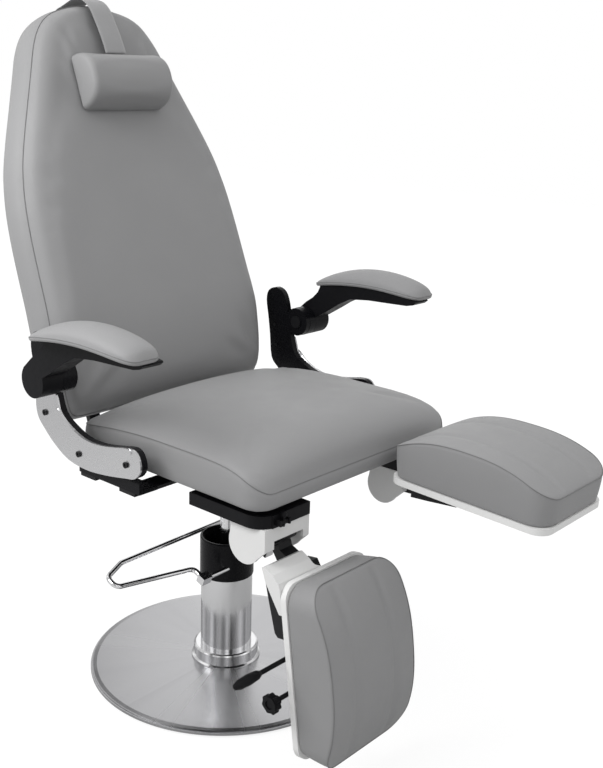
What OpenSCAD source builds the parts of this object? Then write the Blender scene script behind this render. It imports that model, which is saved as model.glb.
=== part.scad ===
// Podiatry chair with hydraulic lift, swivel seat, reclining back and two separate leg rests
// Origin: middle of the base on the floor. The sitter faces -Y and +X is the sitter's left.

/* [Base and column] */
// Diameter of the base disc
base_d = 540; // [460:10:620]
// Diameter of the column tube
tube_d = 101.6; // [90:0.2:110]
// Height of the top of the column sleeve
sleeve_top = 275; // [260:5:290]
// Diameter of the lifting ram
ram_d = 28; // [24:1:34]

/* [Foot pedal] */
// Height of the pedal's axle
axle_z = 225; // [218:1:232]
// Distance of the axle in front of the column's middle
axle_front = 36; // [35.6:0.1:37]
// Slope of the pedal at rest
pedal_slope = 22; // [16:1:26]
// Thickness of the pedal's rod
pedal_rod_d = 10; // [8:1:11]

/* [Seat] */
// Width of the seat cushion
seat_w = 522; // [500:2:530]
// Front end of the seat cushion, in front of the column's middle
seat_front = 328; // [300:2:332]
// Rear end of the seat cushion, behind the column's middle
seat_rear = 112; // [90:2:116]
// Underside of the seat cushion
seat_z = 490; // [488:1:492]
// Height of the seat cushion's side seam at its middle
seat_side_h = 66; // [55:1:72]
// Height of the crown above the side seam
seat_crown = 34; // [6:1:38]

/* [Backrest] */
// Lean of the backrest from upright
back_lean = 20.2; // [16:0.2:24]
// Length of the back cushion
back_len = 768; // [700:2:780]
// Thickness of the back cushion behind its front seam
back_box_t = 70; // [50:1:74]
// Height of the back cushion's crown in front of the seam
back_crown = 30; // [12:1:34]
// Middle of the head pillow, along the backrest
pillow_at = 605; // [560:1:640]
// Length of the head pillow
pillow_len = 194; // [180:2:260]

/* [Armrests] */
// Distance of the arm pads' middle from the chair's middle
arm_x = 360; // [350:1:366]
// Width of an arm pad
arm_pad_w = 81; // [68:1:84]
// Length of an arm pad
arm_pad_l = 270; // [250:2:290]

/* [Leg rests] */
// Width of a leg rest's plate
leg_w = 205; // [196:1:212]
// Length of a leg rest's plate
leg_len = 305; // [280:1:310]
// Gap between the two plates
leg_gap = 63; // [56:1:70]
// Lean of the hanging leg rest
hang_pitch = 8.1; // [6:0.1:12]
// Angle of the raised leg rest, where 90 is level
raised_pitch = 87.9; // [80:0.1:88]
// Thickness of a leg pad at its two ends, up to its seam
leg_pad_t = 48; // [38:1:54]
// How much thicker a leg pad is in its middle
leg_pad_arch = 40; // [30:1:46]

/* [Hidden] */
$fn = 64;

steel = "#c9ccd0";
stainless = "#b8bbbe";
black = "#1c1c1e";
grey_cover = "#8f9092";
white_paint = "#e9e9e7";
rubber = "#2b2b2b";

fit = 0.08;          // radial play of a pin in its bore
tube_r = tube_d / 2;
sleeve_r = tube_r + 2.2;
ram_r = ram_d / 2;
cylinder_r = 30;
plate_z = 3;
plate_t = 5;
cover_t = 2;
cover_rise = 5;
collar_r = 64.5;
collar_top = 43.5;
tube_top = 212;
skirt_z = 197;

head_z = 440;
frame_z = 458;
board_z = 478;

back_y = 134;        // the front seam plane of the back meets this point
back_z = 540;
recline_y = 180;     // hinge of the backrest
recline_z = 479;

pivot_y = -292.5;    // hinge of both leg rests
pivot_z = 427.4;
leg_mid = leg_gap / 2 + leg_w / 2;
housing_in = 130;    // inner and outer faces of the white hinge housing
housing_out = 236;
housing_wall = 6;
plate_n = 52.6;      // back of the leg plate, in front of the hinge
plate_thick = 11.1;
plate_s = 61.5;      // top edge of the leg plate, below the hinge
plate_corner = 27.6;

arm_y = 97;          // hinge of the arms
arm_z = 640;
barrel_r = 30;
bracket_x = 297;
bracket_t = 12;
cover_x = bracket_x + bracket_t;

// Draws for the sitter's left, or mirrored for the sitter's right
module on_side(side) {
    if (side > 0) children();
    else mirror([1, 0, 0]) children();
}

// Turns a flat shape drawn in (y, z) into a plate between two distances from the middle
module side_plate(x0, x1) {
    translate([x0, 0, 0]) rotate([90, 0, 90]) linear_extrude(x1 - x0) children();
}

module cyl_x(r, x0, x1) {
    translate([x0, 0, 0]) rotate([0, 90, 0]) cylinder(r = r, h = x1 - x0);
}

// Rectangle with round corners, centred
module round_rect(w, h, r) {
    square([w - 2 * r, h], center = true);
    square([w, h - 2 * r], center = true);
    for (x = [-1, 1], y = [-1, 1])
        translate([x * (w / 2 - r), y * (h / 2 - r)]) circle(r);
}

// Closed curve through the points, with n steps from each point to the next
function smooth(pts, n) = let (m = len(pts))
    [for (i = [0 : m - 1]) for (k = [0 : n - 1])
        let (t = k / n, a = pts[(i + m - 1) % m], b = pts[i], c = pts[(i + 1) % m], d = pts[(i + 2) % m])
        b + t / 2 * ((c - a) + t * ((2 * a - 5 * b + 4 * c - d) + t * (3 * b - a - 3 * c + d)))];

// How much of a straight piece a bend takes away at a corner of a path
function turn_at(path, i) = let (a = path[i] - path[i - 1], b = path[i + 1] - path[i])
    atan2(a[0] * b[1] - a[1] * b[0], a[0] * b[0] + a[1] * b[1]);
function bend_trim(path, bends, i) = i == 0 || i == len(path) - 1 ? 0
    : bends[i] * tan(abs(turn_at(path, i)) / 2);

// Round rod in the XY plane: straight pieces joined by round bends, one radius for each corner.
// The straight pieces are a hair thinner and run a little way into the bends.
module bent_rod(path, bends, r) {
    thin = 0.03;
    into = 0.5;
    last = len(path) - 1;
    for (i = [0 : last - 1]) {
        d = (path[i + 1] - path[i]) / norm(path[i + 1] - path[i]);
        a = path[i] + d * (bend_trim(path, bends, i) - (i > 0 ? into : 0));
        b = path[i + 1] - d * (bend_trim(path, bends, i + 1) - (i < last - 1 ? into : 0));
        translate([a[0], a[1], 0]) rotate([0, 90, atan2(d[1], d[0])])
            cylinder(r = r - thin, h = norm(b - a));
    }
    for (i = [1 : len(path) - 2]) {
        d = (path[i] - path[i - 1]) / norm(path[i] - path[i - 1]);
        turn = turn_at(path, i);
        start = path[i] - d * bend_trim(path, bends, i);
        centre = start + sign(turn) * bends[i] * [-d[1], d[0]];
        from = atan2(start[1] - centre[1], start[0] - centre[0]) + min(0, turn);
        translate([centre[0], centre[1], 0]) rotate(from)
            rotate_extrude(angle = abs(turn)) translate([bends[i], 0]) circle(r = r);
    }
}

// A closed cushion: rows are [place along its length, half width], cols go from -1 to 1 across.
// top(x, y) is the height of its face, rings are [side inset, height, end inset] down its side,
// floor_of(y) lifts its underside.
module cushion(rows, cols, top, rings, floor_of) {
    nr = len(rows);
    nc = len(cols);
    mid_y = (rows[0][0] + rows[nr - 1][0]) / 2;
    half_l = abs(rows[nr - 1][0] - rows[0][0]) / 2;
    wide = max([for (r = rows) r[1]]);
    face = [for (r = rows) for (u = cols) [r[1] * u, r[0], top(r[1] * u, r[0])]];
    edge = concat(
        [for (j = [0 : nc - 1]) j],
        [for (i = [1 : nr - 1]) i * nc + nc - 1],
        [for (j = [nc - 2 : -1 : 0]) (nr - 1) * nc + j],
        [for (i = [nr - 2 : -1 : 1]) i * nc]);
    ne = len(edge);
    sides = [for (g = rings) for (e = edge)
        let (p = face[e])
        [p[0] * (1 - g[0] / wide), mid_y + (p[1] - mid_y) * (1 - g[2] / half_l),
         floor_of(p[1]) + g[1] * (p[2] - floor_of(p[1]))]];
    base = nr * nc;
    last = base + (len(rings) - 1) * ne;
    right = [for (i = [0 : nr - 1]) last + nc - 1 + i];
    left = [for (i = [0 : nr - 1]) i == 0 ? last : last + 2 * nc + 2 * nr - 4 - i];
    faces = concat(
        [for (i = [0 : nr - 2]) for (j = [0 : nc - 2])
            for (t = [[0, nc, 1], [1, nc, nc + 1]]) [for (k = t) i * nc + j + k]],
        [for (k = [0 : ne - 1]) let (m = (k + 1) % ne)
            for (t = [[edge[k], edge[m], base + k], [edge[m], base + m, base + k]]) t],
        [for (g = [0 : len(rings) - 2]) for (k = [0 : ne - 1])
            let (m = (k + 1) % ne, a = base + g * ne, b = a + ne)
            for (t = [[a + k, a + m, b + k], [a + m, b + m, b + k]]) t],
        [for (k = [0 : nc - 1]) [last + k, last + k + 1, left[1]]],
        [for (i = [1 : nr - 2]) [right[i], right[i + 1], left[i]]],
        [for (i = [1 : nr - 3]) [left[i + 1], left[i], right[i + 1]]],
        [for (k = [nc + nr - 2 : 2 * nc + nr - 4]) [last + k, last + k + 1, left[nr - 2]]]);
    polyhedron(points = concat(face, sides), faces = faces, convexity = 4);
}

// Rows of a rectangle with round corners, from y0 to y1
function corner_rows(y0, y1, half_w, r0, r1, n, flat) = concat(
    [for (k = [0 : n]) let (a = 90 * k / n) [y0 + r0 * (1 - cos(a)), half_w - r0 * (1 - sin(a))]],
    [for (k = [1 : flat]) [y0 + r0 + (y1 - y0 - r0 - r1) * k / flat, half_w]],
    [for (k = [n - 1 : -1 : 0]) let (a = 90 * k / n) [y1 - r1 * (1 - cos(a)), half_w - r1 * (1 - sin(a))]]);

// Fall of a crown from the middle towards an edge at distance d, over a width w
function crown_fall(d, w) = d >= w ? 1 : d <= 0 ? 0 : 1 - sqrt(1 - pow(d / w, 2.4));

// Base
module base_mat() color(rubber) cylinder(d = base_d - 12, h = plate_z, $fn = 120);

module base_plate() color(stainless) translate([0, 0, plate_z])
    difference() {
        cylinder(d = base_d, h = plate_t, $fn = 120);
        translate([0, 0, -1]) cylinder(r = 12, h = plate_t + 2);
    }

module base_cover() color(stainless)
    rotate_extrude($fn = 120) {
        z0 = plate_z + plate_t;
        polygon([[tube_r + 0.3, z0 + cover_rise], [base_d / 2 - 12, z0 + 1], [base_d / 2 - 3, z0],
                 [base_d / 2 - 3, z0 + 1.2], [base_d / 2 - 5, z0 + cover_t],
                 [base_d / 2 - 12, z0 + 1 + cover_t],
                 [tube_r + 0.3, z0 + cover_rise + cover_t]]);
    }

module base_collar() color(steel)
    rotate_extrude($fn = 96) {
        z0 = plate_z + plate_t + cover_rise + cover_t;
        polygon([[tube_r + 0.1, z0], [collar_r + 4, z0], [collar_r + 4, z0 + 3], [collar_r, z0 + 5],
                 [collar_r, collar_top - 4], [collar_r - 1.2, collar_top - 1.2], [collar_r - 4, collar_top],
                 [tube_r + 0.1, collar_top]]);
    }

module column_tube() color(steel)
    translate([0, 0, plate_z + plate_t]) difference() {
        cylinder(r = tube_r, h = tube_top - plate_z - plate_t, $fn = 96);
        translate([0, 0, -1]) cylinder(r = tube_r - 4, h = tube_top, $fn = 96);
    }

module column_sleeve() color(black)
    difference() {
        rotate_extrude($fn = 96)
            polygon([[tube_r + 0.1, skirt_z], [sleeve_r, skirt_z], [sleeve_r, sleeve_top - 2],
                     [sleeve_r - 2, sleeve_top], [tube_r - 2.5, sleeve_top],
                     [tube_r - 2.5, sleeve_top - 8], [tube_r - 6, sleeve_top - 8],
                     [tube_r - 6, tube_top + 0.1], [tube_r + 0.1, tube_top + 0.1]]);
        translate([0, -axle_front, axle_z]) cyl_x(pedal_rod_d / 2 + fit, -70, 70);
    }

module pump_cylinder() color(steel)
    translate([0, 0, plate_z + plate_t]) difference() {
        cylinder(r = cylinder_r, h = 232 - plate_z - plate_t);
        translate([0, 0, 8]) cylinder(r = ram_r + 1.2, h = 260);
    }

module ram_gland() color(black)
    translate([0, 0, 232]) difference() {
        cylinder(r = cylinder_r, h = 12);
        translate([0, 0, -1]) cylinder(r = ram_r + fit, h = 20);
    }

// Foot pedal: the loop lies in a plane through its axle, drawn as (x, distance from the axle)
PEDAL_PATH = [[-97, 9], [-97, 31], [-262, 60], [-262, 87], [-214, 107], [78, 112], [78, 9]];
PEDAL_BENDS = [0, 12, 13, 16, 30, 34, 0];
CLAMP_X = [-95, 78];

module pedal_place() translate([0, -axle_front, axle_z]) rotate([pedal_slope, 0, 0]) children();

module pedal_loop() color(steel) pedal_place() bent_rod(PEDAL_PATH, PEDAL_BENDS, pedal_rod_d / 2);

module pedal_clamps() color(steel)
    pedal_place() for (x = CLAMP_X)
        difference() {
            translate([x - 11, -8, -8]) cube([22, 17, 16]);
            cyl_x(pedal_rod_d / 2, x - 12, x + 12);
        }

module pedal_axle() color(steel) translate([0, -axle_front, axle_z]) cyl_x(pedal_rod_d / 2, -106, 92);

// Lift
module lift_ram() color(steel) translate([0, 0, 100]) cylinder(r = ram_r, h = head_z - 100);

module ram_head() color(black)
    rotate_extrude()
        polygon([[0, head_z], [24, head_z], [45, head_z + 5], [45, head_z + 8], [0, head_z + 8]]);

module swivel_bearing() color(steel)
    translate([0, 0, head_z + 8]) difference() {
        cylinder(r = 43, h = 9.7);
        translate([0, 0, -1]) cylinder(r = 26, h = 12);
    }

// Seat
module swivel_plate() color(black)
    translate([0, 0, head_z + 18]) difference() {
        linear_extrude(6) round_rect(250, 200, 16);
        for (x = [-100, 100], y = [-80, 80]) translate([x, y, -1]) cylinder(r = 5, h = 8);
        translate([50, -76, -1]) cube([42, 32, 8]);
    }

frame_top = board_z;
rail_x = 105;
lug_x = 140;

module seat_frame() color(black) {
    z0 = head_z + 24;
    h = frame_top - z0;
    for (x = [-1, 1]) translate([x * rail_x - 15, -230, z0]) cube([30, 360, h]);
    translate([-120, -225, z0]) cube([240, 30, h]);
    for (y = [-15, 100]) translate([-200, y, z0]) cube([400, 30, h]);
    // straps to the arm brackets
    for (x = [-1, 1]) translate([x > 0 ? 120 : -302, -84, z0]) cube([182, 40, 6]);
    for (x = [-1, 1]) translate([x > 0 ? 120 : -302, 20, z0]) cube([182, 40, 6]);
    // lugs of the backrest hinge
    for (x = [-1, 1])
        on_side(x) side_plate(lug_x, lug_x + 7) difference() {
            union() {
                translate([recline_y, recline_z]) circle(15);
                polygon([[102, z0], [recline_y + 6, recline_z - 14], [recline_y + 8, recline_z + 12],
                         [130, frame_top], [102, frame_top]]);
            }
            translate([recline_y, recline_z]) circle(7 + fit);
        }
    // lug of the backrest's gas spring
    for (x = [56, 82]) side_plate(x, x + 4) difference() {
        union() {
            translate([spring_y, spring_z]) circle(10);
            translate([spring_y - 10, spring_z]) square([20, z0 - spring_z + 1]);
        }
        translate([spring_y, spring_z]) circle(4 + fit);
    }
    translate([50, spring_y - 14, z0]) cube([44, 28, 8]);
}

board_inset = 35;
module seat_board() color(black)
    translate([0, seat_mid_y, board_z]) linear_extrude(seat_z - board_z)
        round_rect(seat_w - 2 * board_inset, 2 * (seat_half_l - board_inset), 50);

// The seat's side seam along y: it arches, falling a little to the rear and late and steeply to the front
seat_mid_y = (seat_rear - seat_front) / 2;
seat_half_l = (seat_rear + seat_front) / 2;
seat_front_fall = 37;
seat_rear_fall = 19;
seat_rows = corner_rows(-seat_front, seat_rear, seat_w / 2, 37, 24, 5, 8);
function seat_at(y) = (y - seat_mid_y) / seat_half_l;
function seat_seam(y) = seat_side_h
    - (y < seat_mid_y ? seat_front_fall * pow(seat_at(y), 6) : seat_rear_fall * pow(seat_at(y), 2));
function seat_top(x, y) = seat_z + seat_seam(y)
    + seat_crown * sqrt(max(0, 1 - pow(x / lookup(y, seat_rows), 2)))
    * sqrt(max(0, 1 - pow(seat_at(y), 12)));

module seat_cushion() color(grey_cover)
    cushion(seat_rows, [-1, -0.97, -0.9, -0.78, -0.6, -0.4, -0.2, 0, 0.2, 0.4, 0.6, 0.78, 0.9, 0.97, 1],
            function(x, y) seat_top(x, y),
            [[-1.5, 0.82, -1.5], [-2.5, 0.5, -2.5], [-2.5, 0.2, -2.5], [0, 0.04, 0], [4, 0, 4]],
            function(y) seat_z);

// Leg rest hinge housings
module mount_box(side) color(black)
    on_side(side) {
        translate([188, -240, 456]) linear_extrude(board_z - 456) {
            translate([0, 20]) square([114, 130], center = true);
            translate([-12, 3]) square([90, 170], center = true);
            translate([57 - 36, -82 + 36]) circle(36);
        }
        // ears that hold the release lever
        for (x = [191, 211.5]) difference() {
            translate([x, -334, 461]) cube([3.5, 13, 10]);
            translate([0, -329, 466]) cyl_x(3 + fit, x - 1, x + 5);
        }
    }

// Cheek of the housing: a round lobe behind and a straight front edge
module housing_side() {
    translate([-274, 420]) circle(34);
    polygon([[-320, 418], [-320, 456], [-246, 456], [-241, 424], [-274, 388], [-300, 399]]);
}

module leg_housing(side) color(white_paint)
    on_side(side) {
        difference() {
            union() {
                side_plate(housing_in, housing_in + housing_wall) housing_side();
                side_plate(housing_out - housing_wall, housing_out) housing_side();
            }
            translate([0, pivot_y, pivot_z]) cyl_x(8, housing_in + 1, housing_out - 1);
        }
        // front with its open window
        translate([housing_in, -320, 432]) cube([housing_out - housing_in, 6, 24]);
        translate([housing_in, -320, 418]) cube([14, 6, 16]);
        translate([housing_out - 22, -320, 418]) cube([22, 6, 16]);
        // roof under the mount box
        translate([housing_in, -320, 451]) cube([housing_out - housing_in, 74, 5]);
    }

module leg_hinge_pins() color(steel)
    for (s = [-1, 1]) on_side(s) translate([0, pivot_y, pivot_z]) cyl_x(8, housing_in + 1, housing_out - 1);

// Armrests, outlines as (y, z)
ARM_INNER_EDGE = [[99, 571], [73, 553], [36, 540], [0, 538], [-38, 543], [-72, 550], [-93, 552],
                  [-107, 543], [-112, 521], [-98, 503], [-72, 497], [-19, 488], [33, 484], [81, 490],
                  [119, 509], [146, 530], [166, 551]];
BRACKET_EDGE = concat([[172, 600], [178, 640], [184, 675], [178, 697], [157, 706], [137, 698],
                       [126, 676], [119, 640], [111, 604]], ARM_INNER_EDGE);
COVER_EDGE = concat([[170, 580], [160, 596], [138, 604], [114, 604], [106, 590]], ARM_INNER_EDGE);
RIB_EDGE = [[101, 575], [73, 553.5], [36, 540.5], [0, 538.5], [-38, 543.5], [-72, 550.5],
            [-86, 551], [-90, 544], [-74, 538], [-38, 530], [0, 524], [38, 526],
            [80, 541], [110, 565], [114, 576]];
COVER_SCREWS = [[143, 562], [50, 508], [-76, 522]];
BRACKET_SCREWS = [[158, 624], [152, 580]];

module arm_bracket(side) color(black)
    on_side(side) {
        difference() {
            side_plate(bracket_x, cover_x) {
                polygon(smooth(BRACKET_EDGE, 3));
                translate([arm_y, arm_z]) circle(barrel_r - 0.5);
            }
            translate([0, arm_y, arm_z]) cyl_x(9, bracket_x - 1, cover_x + 30);
            translate([0, 143, 670]) cyl_x(9, bracket_x + 4, cover_x + 30);
        }
        // fixed half of the barrel
        translate([0, arm_y, arm_z]) difference() {
            cyl_x(barrel_r, cover_x, cover_x + 18);
            cyl_x(9, bracket_x, cover_x + 30);
        }
        // foot under the seat
        translate([262, -96, board_z - 8]) cube([bracket_x - 262 + 2, 160, 6]);
        translate([bracket_x - 3, -96, board_z - 8]) cube([8, 160, 20]);
    }

// Bright cover plate with a raised rib along its inner edge
module arm_cover(side) color(steel)
    on_side(side) difference() {
        union() {
            side_plate(cover_x, cover_x + 3.5) polygon(smooth(COVER_EDGE, 3));
            side_plate(cover_x + 3, cover_x + 5.5) polygon(smooth(RIB_EDGE, 3));
        }
        for (p = COVER_SCREWS) translate([0, p[0], p[1]]) cyl_x(3.2, cover_x - 1, cover_x + 8);
        translate([0, arm_y, arm_z]) cyl_x(barrel_r + 1, cover_x - 1, cover_x + 8);
    }

module arm_screws() color(black)
    for (s = [-1, 1]) on_side(s) {
        for (p = COVER_SCREWS) translate([0, p[0], p[1]]) {
            cyl_x(3.1, cover_x, cover_x + 3.5);
            difference() {
                cyl_x(5.5, cover_x + 3.5, cover_x + 6.5);
                cyl_x(2.6, cover_x + 4.6, cover_x + 8, $fn = 6);
            }
        }
        for (p = BRACKET_SCREWS) translate([0, p[0], p[1]]) cyl_x(3.5, bracket_x - 1.8, bracket_x);
    }

module arm_pivot_pins() color(steel)
    for (s = [-1, 1]) on_side(s) translate([0, arm_y, arm_z]) {
        cyl_x(9, bracket_x, cover_x + 52);
        cyl_x(13, bracket_x - 3, bracket_x);
    }

arm_in = cover_x + 18.3;
arm_out = 369;

// Underside of an arm pad: a low arch from its front end to its rear end
pad_front = -189;
pad_front_z = 724;
function pad_at(y) = (y - pad_front) / arm_pad_l;
function arm_floor(y) = let (t = pad_at(y)) pad_front_z + 47 * t - 56 * t * t;
function arm_half(y) = arm_pad_w / 2 * pow(max(0, 1 - pow(abs(2 * pad_at(y) - 1), 4.3)), 1 / 4.3);
function arm_thick(y) = let (t = pad_at(y)) 23 + 50 * t - 60 * t * t;
arm_seam = 7;

ARM_LOWER = [[-187, 722], [-180, 716.5], [-165, 713], [-120, 711], [-70, 709], [-22, 703.5],
             [8, 688], [31, 673], [67, 651]];
ARM_UPPER = [[121, 659], [97, 680], [79, 692], [66, 705], [60, 717]];

module arm_body(side) color(black)
    on_side(side) difference() {
        side_plate(arm_in, arm_out) {
            translate([arm_y, arm_z]) circle(barrel_r);
            polygon(concat(ARM_LOWER, [[arm_y, arm_z]], ARM_UPPER,
                           [for (k = [0 : 12]) let (y = 60 - k * 20.4) [y, arm_floor(y) - 0.15]]));
        }
        translate([0, arm_y, arm_z]) cyl_x(9 + fit, arm_in - 1, cover_x + 52.4);
    }

arm_tip = 12;        // least half width, at the two ends
arm_rows = 18;
function arm_top(x, y) = arm_floor(y) + arm_seam + (arm_thick(y) - arm_seam)
    * sqrt(max(0, 1 - pow(abs(x) / max(arm_tip, arm_half(y)), 1.6)))
    * sqrt(max(0, 1 - pow(abs(2 * pad_at(y) - 1), 12)));

module arm_pad(side) color(grey_cover)
    on_side(side) translate([arm_x, 0, 0])
        cushion([for (k = [0 : arm_rows]) let (y = pad_front + arm_pad_l * (1 - cos(180 * k / arm_rows)) / 2)
                    [y, max(arm_tip, arm_half(y))]],
                [-1, -0.94, -0.8, -0.5, 0, 0.5, 0.8, 0.94, 1],
                function(x, y) arm_top(x, y),
                [[0, 0.75, 0], [0.5, 0.35, 0.5], [3, 0, 0]],
                function(y) arm_floor(y));

// Backrest, drawn upright in its own frame: x across, y behind the front seam, z along the back
module back_place() translate([0, back_y, back_z]) rotate([-back_lean, 0, 0]) children();

// Half width of the back along its length, an outline that swells low down and closes in a round top
BACK_OUTLINE = [[0, 234], [5, 241], [16, 246], [40, 251], [70, 255], [110, 258.5], [154, 261.5],
                [215, 259], [276, 257.5], [338, 255], [399, 249], [461, 236], [522, 214.5], [584, 189.5],
                [645, 165], [691, 146], [726, 123], [749, 93], [762, 54], [back_len, 18]];
crown_w = 44;        // how wide the fall of the crown is along the edges
curl = 30;           // the lowest part of the face curves back by this much
curl_len = 200;

function back_half(z) = lookup(z, BACK_OUTLINE);
function back_seam(z) = curl * pow(max(0, 1 - z / curl_len), 2);
function back_face(x, z) = back_seam(z) - back_crown
    * (1 - crown_fall(abs(x) - back_half(z) + crown_w, crown_w))
    * (1 - crown_fall(z - back_len + crown_w, crown_w)) * (1 - crown_fall(crown_w - z, crown_w));

module back_cushion() color(grey_cover)
    back_place() rotate([90, 0, 0]) translate([0, 0, -back_box_t])
        cushion(BACK_OUTLINE,
                [-1, -0.98, -0.95, -0.9, -0.82, -0.6, -0.3, 0, 0.3, 0.6, 0.82, 0.9, 0.95, 0.98, 1],
                function(x, z) back_box_t - back_face(x, z),
                [[-7, 0.86, -2], [-12, 0.55, -4], [-9, 0.22, -2], [4, 0, 4]],
                function(z) 0);

module back_board() color(black)
    back_place() translate([0, back_box_t, 0]) rotate([90, 0, 0]) mirror([0, 0, 1])
        linear_extrude(9) polygon(concat(
            [for (p = BACK_OUTLINE) [p[1] - 14, p[0] + (p[0] > 700 ? -12 : p[0] < 30 ? 12 : 0)]],
            [for (i = [len(BACK_OUTLINE) - 1 : -1 : 0]) let (p = BACK_OUTLINE[i])
                [14 - p[1], p[0] + (p[0] > 700 ? -12 : p[0] < 30 ? 12 : 0)]]));

bar_y = back_box_t + 9;
bar_t = 12;

// Point of the backrest's own side view, in the chair's
function back_pt(y, z) = [back_y + y * cos(back_lean) + z * sin(back_lean),
                          back_z - y * sin(back_lean) + z * cos(back_lean)];

module back_frame() color(black) {
    back_place() {
        for (x = [-1, 1]) translate([x * 156 - 12, bar_y, -30]) cube([24, bar_t, 500]);
        for (z = [40, 240, 440]) translate([-150, bar_y, z]) cube([300, bar_t, 30]);
    }
    // hinge arms, outside the seat frame's lugs
    for (s = [-1, 1]) on_side(s) side_plate(lug_x + 7.4, lug_x + 15.4) difference() {
        union() {
            translate([recline_y, recline_z]) circle(16);
            polygon([[recline_y - 13, recline_z + 9], [recline_y + 10, recline_z - 12],
                     back_pt(bar_y + bar_t, -30), back_pt(bar_y + bar_t, 30),
                     back_pt(bar_y, 30), back_pt(bar_y, -14)]);
        }
        translate([recline_y, recline_z]) circle(7);
    }
    // lever of the gas spring
    for (x = [54, 84]) side_plate(x, x + 5) difference() {
        union() {
            translate([recline_y, recline_z]) circle(14);
            polygon([[recline_y - 8, recline_z], [recline_y - 6, recline_z - 46],
                     [recline_y + 12, recline_z - 48], [recline_y + 14, recline_z]]);
            translate([recline_y + 3, recline_z - 48]) circle(10);
            polygon([[recline_y - 12, recline_z + 7], [recline_y + 10, recline_z - 10],
                     back_pt(bar_y + bar_t, -30), back_pt(bar_y + bar_t, 70),
                     back_pt(bar_y, 70), back_pt(bar_y, -14)]);
        }
        translate([recline_y, recline_z]) circle(7);
    }
}

module back_hinge_pin() color(steel) translate([0, recline_y, recline_z]) cyl_x(7, -165, 165);

// Gas spring of the backrest, between a lug under the seat and the backrest's lever
spring_x = 71;
spring_y = -60;
spring_z = 432;
spring_end_y = recline_y + 3;
spring_end_z = recline_z - 48;
spring_len = norm([spring_end_y - spring_y, spring_end_z - spring_z]);

module spring_place() translate([spring_x, spring_y, spring_z])
    rotate([atan2(spring_end_z - spring_z, spring_end_y - spring_y), 0, 0]) rotate([-90, 0, 0]) children();

module back_spring_cylinder() color(black) {
    spring_place() difference() {
        union() {
            translate([0, 0, 8]) cylinder(r = 10, h = 122);
            cyl_x(8, -8, 8);
        }
        translate([0, 0, 20]) cylinder(r = 4.3, h = 120);
    }
    translate([0, spring_y, spring_z]) cyl_x(4, 55, 87);
}

module back_spring_rod() color(steel)
    spring_place() {
        translate([0, 0, 80]) cylinder(r = 4, h = spring_len - 80);
        translate([0, 0, spring_len]) cyl_x(7.5, -7, 7);
    }

// Head pillow, its strap and the weight that balances it behind the back
pillow_gap = back_crown + 2;
pillow_half = 53;
strap_w = 50;
strap_t = 2.4;

// Where the strap lies, (y, z) from the pillow over the top of the back and down behind it
STRAP_PATH = [[-49, pillow_at + pillow_half + 1.5], [-46, 687], [-40, 720], [-33, 748], [-22, 766],
              [-6, 778], [14, 783],
              [back_box_t - 6, 783], [back_box_t + 8, 776], [back_box_t + 14, 750], [back_box_t + 14, 520]];

// Second face of the strap, one thickness out from the first
function strap_outer(i) =
    let (n = len(STRAP_PATH), d = STRAP_PATH[min(n - 1, i + 1)] - STRAP_PATH[max(0, i - 1)])
    STRAP_PATH[i] + strap_t * [-d[1], d[0]] / norm(d);

module pillow_strap() color("#7d7e80")
    back_place() side_plate(-strap_w / 2, strap_w / 2)
        polygon(concat(STRAP_PATH, [for (i = [len(STRAP_PATH) - 1 : -1 : 0]) strap_outer(i)]));

// Half round section of the pillow, flat towards the back, and its soft round ends as [place, size]
pillow_deep = 58;
PILLOW_ENDS = [[0, 0.6], [0.015, 0.78], [0.05, 0.92], [0.12, 0.99], [0.3, 1], [0.5, 1], [0.7, 1],
               [0.88, 0.99], [0.95, 0.92], [0.985, 0.78], [1, 0.6]];
PILLOW_STEPS = 24;
PILLOW_RING = [for (k = [0 : PILLOW_STEPS - 1])
    let (a = 360 * k / PILLOW_STEPS, c = abs(cos(a)) < 0.001 ? 0 : cos(a))
    [sin(a) > 0 ? 2 * pow(sin(a), 0.4) : pillow_deep * sin(a), pillow_half * sign(c) * pow(abs(c), 0.85)]];

module head_pillow() color(grey_cover)
    back_place() translate([0, -pillow_gap - 2, pillow_at]) {
        n = PILLOW_STEPS;
        m = len(PILLOW_ENDS);
        pts = [for (s = PILLOW_ENDS) for (p = PILLOW_RING)
            [pillow_len * (s[0] - 0.5), p[0] < 0 ? p[0] * s[1] : p[0] * 0.5, p[1] * s[1]]];
        faces = concat(
            [for (i = [0 : m - 2]) for (k = [0 : n - 1]) let (q = (k + 1) % n, a = i * n, b = a + n)
                for (t = [[a + k, a + q, b + k], [a + q, b + q, b + k]]) t],
            [for (k = [0 : n - 1]) [(k + 1) % n, k, m * n]],
            [for (k = [0 : n - 1]) [(m - 1) * n + k, (m - 1) * n + (k + 1) % n, m * n + 1]]);
        tips = [for (s = [-1, 1]) [s * (pillow_len / 2 + 3), -pillow_deep / 2, 0]];
        polyhedron(points = concat(pts, tips), faces = faces);
    }

module pillow_weight() color("#7d7e80")
    back_place() translate([0, back_box_t + 14 + strap_t + 0.6, 540])
        rotate([-90, 0, 0]) linear_extrude(18) round_rect(150, 62, 14);

// Release levers under the front of the seat
module release_lever(side) color(black)
    on_side(side) translate([203, -329, 466]) {
        rotate([0, 90, 0]) cylinder(r = 3, h = 23.6, center = true);
        translate([0, 0, -8]) cylinder(r1 = 2.4, r2 = 3.4, h = 8);
        cylinder(r = 2.4, h = 9);
        translate([0, 0, 12]) sphere(5.5);
    }

// Leg rests, drawn hanging straight down from the hinge: x across, -y in front, -z down
function pitch_of(side) = side > 0 ? raised_pitch : hang_pitch;

module leg_place(side) on_side(side)
    translate([0, pivot_y, pivot_z]) rotate([-pitch_of(side), 0, 0]) children();

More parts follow.
